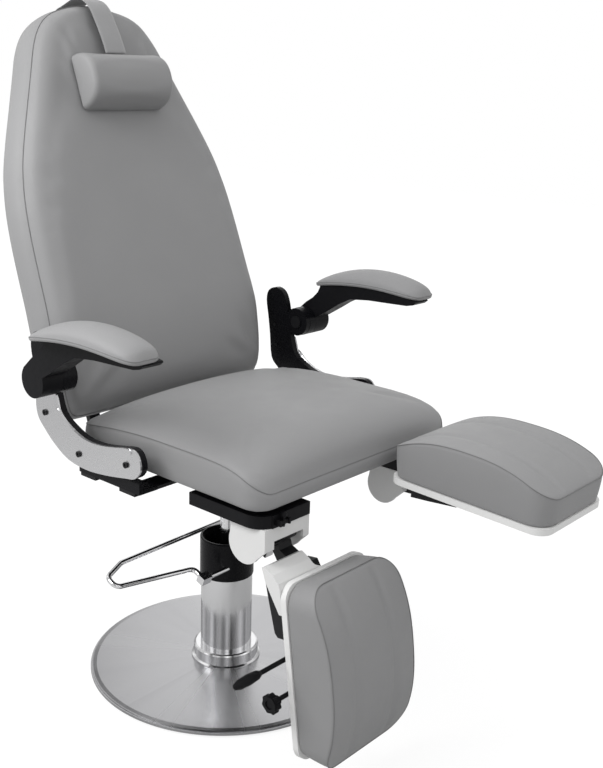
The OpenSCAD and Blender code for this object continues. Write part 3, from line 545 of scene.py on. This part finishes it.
# %% Seams and covers
def closed_tube(name, path, radius, sides=8):
    """Round cord along a closed line of points in space, as a mesh."""
    p = np.asarray(path, float)
    ahead = np.roll(p, -1, 0) - np.roll(p, 1, 0)
    ahead /= np.linalg.norm(ahead, axis=1)[:, None]
    a = np.cross(ahead, (0, 0, 1.0))
    weak = np.linalg.norm(a, axis=1) < 0.2
    a[weak] = np.cross(ahead[weak], (1.0, 0, 0))
    a /= np.linalg.norm(a, axis=1)[:, None]
    b = np.cross(ahead, a)
    turn = np.linspace(0, 2 * math.pi, sides, endpoint=False)[None, :, None]
    rings = p[:, None] + radius * (np.cos(turn) * a[:, None] + np.sin(turn) * b[:, None])
    n = len(p)
    faces = [(i * sides + k, i * sides + (k + 1) % sides,
              ((i + 1) % n) * sides + (k + 1) % sides, ((i + 1) % n) * sides + k)
             for i in range(n) for k in range(sides)]
    mesh = bpy.data.meshes.new(name)
    mesh.from_pydata([Vector(v) for v in rings.reshape(-1, 3)], [], faces)
    mesh.shade_smooth()
    o = bpy.data.objects.new(name, mesh)
    bpy.context.collection.objects.link(o)
    return o


def soften(o):
    """One level of subdivision, which takes the facets off a cover."""
    fine = o.modifiers.new("smooth_cover", "SUBSURF")
    fine.levels = fine.render_levels = 1


def dress_pad(o, seam, frame_matrix, m, body, node, groove=0.0012, welt=0.0008):
    """Sinks the seam, smooths the cover, lays a fine welt in painted shade in the seam and hangs all on its
    body.
    """
    mesh = o.data
    mesh.update()
    normals = {k: mesh.vertices[k].normal.copy() for k in seam}
    for k in seam:
        mesh.vertices[k].co -= normals[k] * groove
    crease = mesh.attributes.new("crease_edge", "FLOAT", "EDGE")
    ring = set(zip(seam, seam[1:] + seam[:1]))
    for e in mesh.edges:
        a, b = e.vertices
        if (a, b) in ring or (b, a) in ring:
            crease.data[e.index].value = 0.55
    line = [tuple(frame_matrix @ (mesh.vertices[k].co + normals[k] * groove * 0.35)) for k in seam]
    mesh.transform(frame_matrix)
    mesh.materials.append(m)
    mesh.shade_smooth()
    soften(o)
    cord = closed_tube(o.name + "_seam", line, welt)
    # The welt's darker grey is painted shade of the seam's groove.
    cord.data.materials.append(seam_welt_painted_shade)
    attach(o, body)
    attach(cord, body)
    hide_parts(node)


def swell(value, limit, width):
    """1 inside, falling to 0 at the limit in a quarter round of that width."""
    d = np.clip((np.abs(value) - (limit - width)) / width, 0, 1)
    return np.sqrt(np.clip(1 - d ** 2.3, 0, 1))


print("seam and cover helpers ready")

# %% [markdown]
# The seat is a wide pad with a waterfall front: its seam arches gently along the sides and drops
# steeply at the front, so the top panel rolls over the edge and nothing presses behind the knees. The
# crown is a low ellipse from side to side.

# %% Seat cushion
SEAT_HALF = 0.261
SEAT_FRONT = -0.328
SEAT_REAR = 0.112
SEAT_FLOOR = 0.490
SEAT_SIDE = 0.066
SEAT_CROWN = 0.032
SEAT_MID = (SEAT_FRONT + SEAT_REAR) / 2
SEAT_LONG = (SEAT_REAR - SEAT_FRONT) / 2
SEAT_RINGS = [(0.001, 0.88), (0.002, 0.68), (0.002, 0.45), (0.0015, 0.25), (-0.0005, 0.1), (-0.005, 0.0)]


def seat_seam(y):
    """Height of the seat's seam above its board."""
    t = (y - SEAT_MID) / SEAT_LONG
    return SEAT_SIDE - np.where(t < 0, 0.037 * np.abs(t) ** 6, 0.019 * t ** 2)


def seat_top(x, y):
    """Height of the seat's face: an ellipse from side to side on top of the seam."""
    t = np.abs((y - SEAT_MID) / SEAT_LONG)
    round_x = np.sqrt(np.clip(1 - (x / seat_width(y)) ** 2, 0, 1))
    return SEAT_FLOOR + seat_seam(y) + SEAT_CROWN * round_x * np.sqrt(np.clip(1 - t ** 12, 0, 1))


seat_half = rounded(SEAT_FRONT, SEAT_REAR, SEAT_HALF, 0.037, 0.024)
seat_width = width_at(seat_half)
seat_grid = patch(*four_sides(seat_half, 7, 18, 64, 54))
seat, seat_rim, seat_still = build_pad("seat_upholstery", seat_grid, seat_top, SEAT_RINGS,
                                       lambda y: np.full_like(y, SEAT_FLOOR))
print("seat swells by", inflate(seat, seat_rim + seat_still, 3.5, 0.0035))
dress_pad(seat, seat_rim, Matrix.Identity(4), cover, "seat", "seat_cushion")

# %% [markdown]
# The back is one long pad that is widest at the elbows and closes in a round top. Its lowest part
# curls away from the sitter. It is built lying flat and then stood up by a matrix, because a lean of
# twenty degrees would otherwise creep into every formula.

# %% Back cushion
BACK_LEAN = math.radians(20.2)
BACK_FOOT = Vector((0, 0.134, 0.540))
BACK_DEEP = 0.070
BACK_CROWN = 0.027
BACK_LONG = 0.768
CROWN_EDGE = 0.044
CURL = 0.030
CURL_LONG = 0.200
BACK_RINGS = [(0.006, 0.86), (0.0095, 0.7), (0.0105, 0.52), (0.009, 0.3), (0.004, 0.12), (-0.004, 0.0)]
BACK_LINE = [(0, 0), (.120, 0), (.205, 0), (.230, .001), (.240, .005), (.246, .016),
             (.251, .040), (.255, .070), (.2585, .110), (.2615, .154), (.259, .215), (.2575, .276),
             (.255, .338), (.249, .399), (.236, .461), (.2145, .522), (.1895, .584), (.165, .645),
             (.146, .691), (.123, .726), (.093, .749), (.054, .762), (.018, .768), (0, .7685)]


def lean_matrix(origin, angle):
    """Own frame of a leaning pad: x across, y up along it, z out of its face."""
    along = Vector((0, math.sin(angle), math.cos(angle)))
    out = Vector((0, -math.cos(angle), math.sin(angle)))
    return Matrix.Translation(origin) @ Matrix(((1, 0, 0), along, out)).transposed().to_4x4()


def smooth_line(points, steps=4):
    """Curve through the points of an open line."""
    p = np.asarray([points[0]] + list(points) + [points[-1]], float)
    out = []
    for i in range(1, len(p) - 2):
        for t in np.linspace(0, 1, steps, endpoint=False):
            a, b, c, d = p[i - 1:i + 3]
            bend = 2 * a - 5 * b + 4 * c - d
            twist = 3 * b - a - 3 * c + d
            out.append(b + t / 2 * ((c - a) + t * (bend + t * twist)))
    return np.array(out + [p[-1]])


back_frame = lean_matrix(BACK_FOOT, BACK_LEAN) @ Matrix.Translation((0, 0, -BACK_DEEP))
back_half = smooth_line(BACK_LINE)
back_width = width_at(back_half)


def back_top(x, y):
    """Height of the back's face above its board."""
    seam = BACK_DEEP - CURL * np.clip(1 - y / CURL_LONG, 0, 1) ** 2
    across = swell(x, back_width(y), CROWN_EDGE)
    return seam + BACK_CROWN * across * swell(y - BACK_LONG / 2, BACK_LONG / 2, CROWN_EDGE)


back_grid = patch(*four_sides(back_half, 16, 77, 56, 96))
back, back_rim, back_still = build_pad("back_upholstery", back_grid, back_top, BACK_RINGS,
                                       np.zeros_like, ends=0.33)
print("back swells by", inflate(back, back_rim + back_still, 3.0, 0.004))
dress_pad(back, back_rim, back_frame, cover, "back", "back_cushion")

# %% [markdown]
# Each leg pad is a thick cushion whose face arches, so that a calf rests in its middle, with two soft
# channels down its length where the cover is held to the foam. The channels are pressed in after the
# pad is inflated; earlier, the pressure would only push them out again.

# %% Leg pads
HINGE = Vector((0, -0.2925, 0.4274))
LEG_MID = 0.134
TRAY_FRONT = 0.0638
LEG_HALF = 0.106
LEG_LONG = 0.156
LEG_MIDDLE = 0.214
LEG_ENDS = 0.048
LEG_ARCH = 0.040
CHANNEL_AT = 0.050
CHANNEL_WIDE = 0.008
CHANNEL_DEEP = 0.0030
LEG_RINGS = [(-0.0008, 0.84), (-0.0014, 0.66), (-0.0024, 0.44),
             (-0.0038, 0.22), (-0.005, 0.07), (-0.0058, 0.0)]
LEG_SIDES = {"right": (-1, math.radians(8.1)), "left": (1, math.radians(87.9))}


def leg_matrix(sign, pitch):
    """Own frame of a leg pad: x across, y back up to the hinge, z out of the tray."""
    along = Vector((0, -math.sin(pitch), -math.cos(pitch)))
    out = Vector((0, -math.cos(pitch), math.sin(pitch)))
    spot = HINGE + Vector((sign * LEG_MID, 0, 0)) + along * LEG_MIDDLE + out * TRAY_FRONT
    return Matrix.Translation(spot) @ Matrix(((1, 0, 0), -along, out)).transposed().to_4x4()


leg_half = rounded(-LEG_LONG, LEG_LONG, LEG_HALF, 0.0415, 0.0415)
leg_width = width_at(leg_half)


def leg_top(x, y):
    """Height of a leg pad's face: an arch lengthways with a faint crown across."""
    t = np.clip(np.abs(y) / LEG_LONG, 0, 1)
    share = np.clip(np.abs(x) / leg_width(y), 0, 1)
    return LEG_ENDS + LEG_ARCH * (1 - t ** 2.5) + 0.0035 * (1 - share ** 4) * (1 - t ** 4)


def press_channels(o, count):
    """Two shallow grooves along the pad, fading out near its ends."""
    for v in list(o.data.vertices)[:count]:
        d = (abs(v.co.x) - CHANNEL_AT) / CHANNEL_WIDE
        fade = float(swell(np.array(v.co.y), LEG_LONG * 0.97, 0.06))
        v.co.z -= CHANNEL_DEEP * math.exp(-d * d) * fade


for side, (sign, pitch) in LEG_SIDES.items():
    grid = patch(*four_sides(leg_half, 7, 18, 44, 50))
    pad, rim, still = build_pad(f"leg_upholstery_{side}", grid, leg_top, LEG_RINGS, np.zeros_like)
    print(side, "leg pad swells by", inflate(pad, rim + still, 3.5, 0.003))
    press_channels(pad, grid.shape[0] * grid.shape[1])
    dress_pad(pad, rim, leg_matrix(sign, pitch), cover, f"leg_rest_{side}", f"leg_pad_{side}")

# %% [markdown]
# The arm pads are slim shells of foam whose seam runs round them just above the underside. A long
# blunt oval and two height curves, one for the top and one for the underside, describe them better
# than a box would.

# %% Arm pads
ARM_X = 0.360
ARM_FRONT = -0.189
ARM_LONG = 0.270
ARM_HALF = 0.0405
ARM_SIDE = 0.007
BLUNT = 4.3
ARM_RINGS = [(0.0003, 0.75), (0.0, 0.5), (-0.001, 0.2), (-0.003, 0.0)]


def arm_share(y):
    """0 at the arm pad's front tip, 1 at its rear."""
    return (y - ARM_FRONT) / ARM_LONG


def arm_under(y):
    """Height of the underside above the floor."""
    t = arm_share(y)
    return 0.724 + 0.047 * t - 0.056 * t ** 2


def arm_top(x, y):
    """Height of the face above the floor."""
    t = arm_share(y)
    thick = 0.023 + 0.050 * t - 0.060 * t ** 2
    share = np.clip(np.abs(x) / arm_width(y), 0, 1)
    ends = np.sqrt(np.clip(1 - np.abs(2 * t - 1) ** 12, 0, 1))
    return arm_under(y) + ARM_SIDE + (thick - ARM_SIDE) * np.sqrt(np.clip(1 - share ** 1.8, 0, 1)) * ends


turn = np.linspace(-math.pi / 2, math.pi / 2, 49)
ahead = np.sign(turn) * np.abs(np.sin(turn)) ** (2 / BLUNT)
arm_half = np.stack([ARM_HALF * np.abs(np.cos(turn)) ** (2 / BLUNT),
                     ARM_FRONT + ARM_LONG / 2 * (1 + ahead)], 1)
arm_width = width_at(arm_half)

for side, sign in (("right", -1), ("left", 1)):
    grid = patch(*four_sides(arm_half, 13, 35, 18, 48))
    pad, rim, still = build_pad(f"arm_upholstery_{side}", grid, arm_top, ARM_RINGS, arm_under)
    print(side, "arm pad swells by", inflate(pad, rim + still, 4.0, 0.0015, 30.0))
    dress_pad(pad, rim, Matrix.Translation((sign * ARM_X, 0, 0)), cover, f"arm_{side}", f"arm_pad_{side}",
              groove=0.0006)

# %% [markdown]
# The headrest is a half-round bolster, flat where it lies on the back. Its cover is a tube of vinyl
# with a sewn-in end cap, so the edge of each cap is a soft round, not a corner. It is swept as rings
# along its length; the last rings close in on the cap.

# %% Headrest bolster
PILLOW_AT = 0.605
PILLOW_HALF = 0.097
PILLOW_HIGH = 0.053
PILLOW_DEEP = 0.057
PILLOW_GAP = 0.0335
CAP_ROUND = 0.012
CAP_MIDDLE = 0.024
CAP_RINGS = [(0.8, 0.001), (0.5, 0.002), (0.2, 0.0025)]
PILLOW_RINGS = 28
RING_POINTS = 48


def pillow_ring(shrink, x):
    """D-shaped ring, drawn in towards its own middle by shrink metres."""
    out = []
    for k in range(RING_POINTS):
        a = 2 * math.pi * k / RING_POINTS
        c, s = math.cos(a), math.sin(a)
        along = (PILLOW_HIGH - shrink) * math.copysign(abs(c) ** 0.85, c)
        deep = (PILLOW_DEEP - shrink) * abs(s) ** 0.95 if s > 0 else 0.0
        out.append((x, along, deep + 0.15 * shrink))
    return out


def pillow_stations():
    """(place across, shrink) of the rings, with a quarter round at both ends."""
    left = [(-PILLOW_HALF + CAP_ROUND * (1 - math.cos(t)), CAP_ROUND * (1 - math.sin(t)))
            for t in np.linspace(0, math.pi / 2, 6)]
    straight = PILLOW_HALF - CAP_ROUND
    inner = [(x, 0.0) for x in np.linspace(-straight, straight, PILLOW_RINGS)[1:-1]]
    return left + inner + [(-x, b) for x, b in reversed(left)]


def build_pillow():
    """Closed half-round bolster, with end caps that bulge a little."""
    n = RING_POINTS
    stations = pillow_stations()
    points = [p for x, shrink in stations for p in pillow_ring(shrink, x)]
    faces = [(i * n + k, (i + 1) * n + k, (i + 1) * n + (k + 1) % n, i * n + (k + 1) % n)
             for i in range(len(stations) - 1) for k in range(n)]
    for x, first in ((-1, 0), (1, (len(stations) - 1) * n)):
        ring = list(range(first, first + n))
        for share, bulge in CAP_RINGS:
            inner = [len(points) + k for k in range(n)]
            points += [(x * (PILLOW_HALF + bulge), points[first + k][1] * share,
                        CAP_MIDDLE + (points[first + k][2] - CAP_MIDDLE) * share) for k in range(n)]
            faces += [(ring[k], inner[k], inner[(k + 1) % n], ring[(k + 1) % n])[::x] for k in range(n)]
            ring = inner
        faces.append(tuple(ring[::-x]))
    mesh = bpy.data.meshes.new("headrest_bolster")
    mesh.from_pydata([Vector(p) for p in points], [], faces)
    mesh.validate()
    o = bpy.data.objects.new("headrest_bolster", mesh)
    bpy.context.collection.objects.link(o)
    return o


bolster = build_pillow()
pillow_frame = lean_matrix(BACK_FOOT, BACK_LEAN) @ Matrix.Translation((0, PILLOW_AT, PILLOW_GAP))
flat_back = [v.index for v in bolster.data.vertices if v.co.z < 0.003]
caps = [v.index for v in bolster.data.vertices if abs(v.co.x) > PILLOW_HALF - 0.002]
print("bolster swells by", inflate(bolster, flat_back + caps, 3.0, 0.001, 30.0))
bolster.data.transform(pillow_frame)
bolster.data.materials.append(cover)
bolster.data.shade_smooth()
soften(bolster)
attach(bolster, "pillow")
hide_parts("head_pillow")

# %% [markdown]
# The headrest hangs on a flat strap of the same vinyl, which runs over the round top of the back and
# down behind it to a small weight; its material is a lighter copy of the cover, painted light. The strap
# is built in two parts, a front part by the headrest and a rear part by the weight. Both follow one
# line that is cut at the top, and each is a thin band with real thickness.

# %% Strap
STRAP_HALF = 0.025
STRAP_THICK = 0.0022
FRONT_LINE = [(.049, .6575), (.0465, .687), (.0405, .720), (.0335, .748), (.0225, .7665),
              (.0065, .7785), (-.0135, .7835), (-.030, .7835)]
REAR_LINE = [(-.030, .7835), (-.050, .7835), (-.0645, .7835), (-.0785, .7765), (-.0845, .750),
             (-.0845, .700), (-.0845, .640), (-.0845, .580), (-.0845, .520)]
STRAP_PARTS = {
    "front": (FRONT_LINE, "pillow", (0.036, 0.745), (0.049, 0.662), "stretched"),
    "rear": (REAR_LINE, "counterweight", (-0.0845, 0.745), (-0.0845, 0.570), "hung"),
}


def build_band(name, points, half, thick):
    """Thin band along a line in the side view of the back, (out of the face, along the back)."""
    line = smooth_line(points, 5)
    ahead = np.gradient(line, axis=0)
    ahead /= np.linalg.norm(ahead, axis=1)[:, None]
    out = np.stack([ahead[:, 1], -ahead[:, 0]], 1)
    cols = np.linspace(-1, 1, 9)
    w = len(cols)
    verts, faces = [], []
    for p, o in zip(line, out):
        for face in (0, 1):
            for c in cols:
                spot = p + o * thick * (face if abs(c) < 1 else 0.5)
                verts.append((half * c, spot[1], spot[0]))
    for i in range(len(line) - 1):
        a, b = i * 2 * w, (i + 1) * 2 * w
        for j in range(w - 1):
            faces.append((b + j, b + j + 1, a + j + 1, a + j))
            faces.append((a + w + j + 1, b + w + j + 1, b + w + j, a + w + j))
        faces.append((a + w, b + w, b, a))
        faces.append((b + w - 1, b + 2 * w - 1, a + 2 * w - 1, a + w - 1))
    for i, turn in ((0, 1), (len(line) - 1, -1)):
        a = i * 2 * w
        faces += [(a + j, a + j + 1, a + w + j + 1, a + w + j)[::turn] for j in range(w - 1)]
    mesh = bpy.data.meshes.new(name)
    mesh.from_pydata([Vector(v) for v in verts], [], faces)
    mesh.validate()
    mesh.transform(lean_matrix(BACK_FOOT, BACK_LEAN))
    # A lighter copy of the cover: painted light on the strap.
    mesh.materials.append(strap_painted_light_cover)
    mesh.shade_smooth()
    o = bpy.data.objects.new(name, mesh)
    bpy.context.collection.objects.link(o)
    return o, float(np.linalg.norm(np.diff(line, axis=0), axis=1).sum())


for part, (line, body, start, end, held) in STRAP_PARTS.items():
    band, length = build_band(f"headrest_strap_{part}", line, STRAP_HALF, STRAP_THICK)
    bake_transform(band)
    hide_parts("pillow_strap")
    print(part, "strap is", round(length, 3), "m long")

# %% [markdown]
# The weight is a flat pouch sewn from the same vinyl, filled with shot. A small pad with a seam
# round its edge serves for it.

# %% Counterweight pouch
POUCH_AT = 0.540
POUCH_BEHIND = 0.0872
POUCH_WIDE = 0.075
POUCH_HIGH = 0.031
POUCH_CORNER = 0.014
POUCH_EDGE = 0.007
POUCH_CROWN = 0.008
POUCH_RINGS = [(0.0005, 0.6), (-0.001, 0.0)]


def pouch_top(x, y):
    """Height of the pouch's face above its back."""
    return POUCH_EDGE + POUCH_CROWN * swell(x, POUCH_WIDE, 0.04) * swell(y, POUCH_HIGH, 0.03)


pouch_half = rounded(-POUCH_HIGH, POUCH_HIGH, POUCH_WIDE, POUCH_CORNER, POUCH_CORNER)
pouch_grid = patch(*four_sides(pouch_half, 7, 18, 28, 14))
pouch, pouch_rim = build_pad("weight_pouch", pouch_grid, pouch_top, POUCH_RINGS, np.zeros_like)[:2]
behind = Matrix(((-1, 0, 0, 0), (0, 1, 0, 0), (0, 0, -1, 0), (0, 0, 0, 1)))
pouch_frame = lean_matrix(BACK_FOOT, BACK_LEAN) @ Matrix.Translation((0, POUCH_AT, -POUCH_BEHIND)) @ behind
dress_pad(pouch, pouch_rim, pouch_frame, cover, "counterweight", "pillow_weight", welt=0.0009)
print("pouch is", 2 * POUCH_WIDE, "by", 2 * POUCH_HIGH, "m")

# %% [markdown]
# The studio is a pale floor under a white sky that is brighter overhead. Chrome shows whatever
# surrounds it, so the sky that mirrors see has darker bands; the camera itself sees plain white. One
# large soft lamp at the left gives the sides of the cushions their lighter tone.

# %% Studio
KEY_PLACE = (-1.4, 0.4, 1.7)
KEY_AIM = (-0.1, -0.1, 0.6)
KEY_SIZE = 0.9
KEY_POWER = 21.0
SKY_LOW = 0.80
SKY_HIGH = 1.33
MIRRORED_DARK = 0.25
MIRRORED_LIGHT = 1.2
FLOOR_HALF = 8.0
FLOOR_GREY = 0.5
FLOOR_GLOW = 1.36
GLOW_SHARE = 0.6


def make_floor():
    """Matte floor with a glow that the camera alone sees: white, but still able to hold a shadow."""
    mesh = bpy.data.meshes.new("floor")
    corners = [(x * FLOOR_HALF, y * FLOOR_HALF, 0) for x, y in ((-1, -1), (1, -1), (1, 1), (-1, 1))]
    mesh.from_pydata(corners, [], [(0, 1, 2, 3)])
    o = bpy.data.objects.new("floor", mesh)
    bpy.context.collection.objects.link(o)
    m = bpy.data.materials.new("pale_floor")
    m.use_nodes = True
    tree = m.node_tree
    tree.nodes.clear()
    matte = add(tree, "ShaderNodeBsdfDiffuse", Color=(FLOOR_GREY, FLOOR_GREY, FLOOR_GREY, 1))
    glow = add(tree, "ShaderNodeEmission", Color=(1, 1, 1, 1), Strength=FLOOR_GLOW)
    seen = add(tree, "ShaderNodeLightPath").outputs["Is Camera Ray"]
    share = add(tree, "ShaderNodeMath", {"operation": "MULTIPLY"}, i0=seen, i1=GLOW_SHARE)
    mix = add(tree, "ShaderNodeMixShader", Fac=share.outputs["Value"])
    tree.links.new(matte.outputs["BSDF"], mix.inputs[1])
    tree.links.new(glow.outputs["Emission"], mix.inputs[2])
    add(tree, "ShaderNodeOutputMaterial", Surface=mix.outputs["Shader"])
    o.data.materials.append(m)


def make_sky():
    """White for the camera, a gradient for plain surfaces and soft bands for mirrors."""
    world = bpy.data.worlds.new("studio_sky")
    bpy.context.scene.world = world
    world.use_nodes = True
    tree = world.node_tree
    tree.nodes.clear()
    path = add(tree, "ShaderNodeLightPath")
    direction = add(tree, "ShaderNodeTexCoord").outputs["Generated"]
    xyz = add(tree, "ShaderNodeSeparateXYZ", Vector=direction)
    stripe = noise(tree, along_one(tree, bearing(tree, xyz)), 2.1, 2.0, 0.5)
    band = remap(tree, stripe, 0.4, 0.58, MIRRORED_DARK, MIRRORED_LIGHT)
    gradient = remap(tree, xyz.outputs["Z"], 0.0, 1.0, SKY_LOW, SKY_HIGH)
    mirror = add(tree, "ShaderNodeMix", {"data_type": "FLOAT"}, i0=path.outputs["Is Glossy Ray"])
    tree.links.new(gradient, mirror.inputs[2])
    tree.links.new(band, mirror.inputs[3])
    seen = add(tree, "ShaderNodeMix", {"data_type": "FLOAT"}, i0=path.outputs["Is Camera Ray"])
    tree.links.new(mirror.outputs[0], seen.inputs[2])
    seen.inputs[3].default_value = 1.0
    sky = add(tree, "ShaderNodeBackground", Color=(1, 1, 1, 1), Strength=seen.outputs[0])
    add(tree, "ShaderNodeOutputWorld", Surface=sky.outputs["Background"])


def make_key_lamp():
    """Round soft lamp that looks from its place to its aim."""
    lamp = bpy.data.lights.new("key_lamp", "AREA")
    lamp.shape = "DISK"
    lamp.size = KEY_SIZE
    lamp.energy = KEY_POWER
    o = bpy.data.objects.new("key_lamp", lamp)
    o.location = KEY_PLACE
    o.rotation_euler = (Vector(KEY_AIM) - Vector(KEY_PLACE)).to_track_quat("-Z", "Y").to_euler()
    bpy.context.collection.objects.link(o)


make_floor()
make_sky()
make_key_lamp()
print("studio ready")
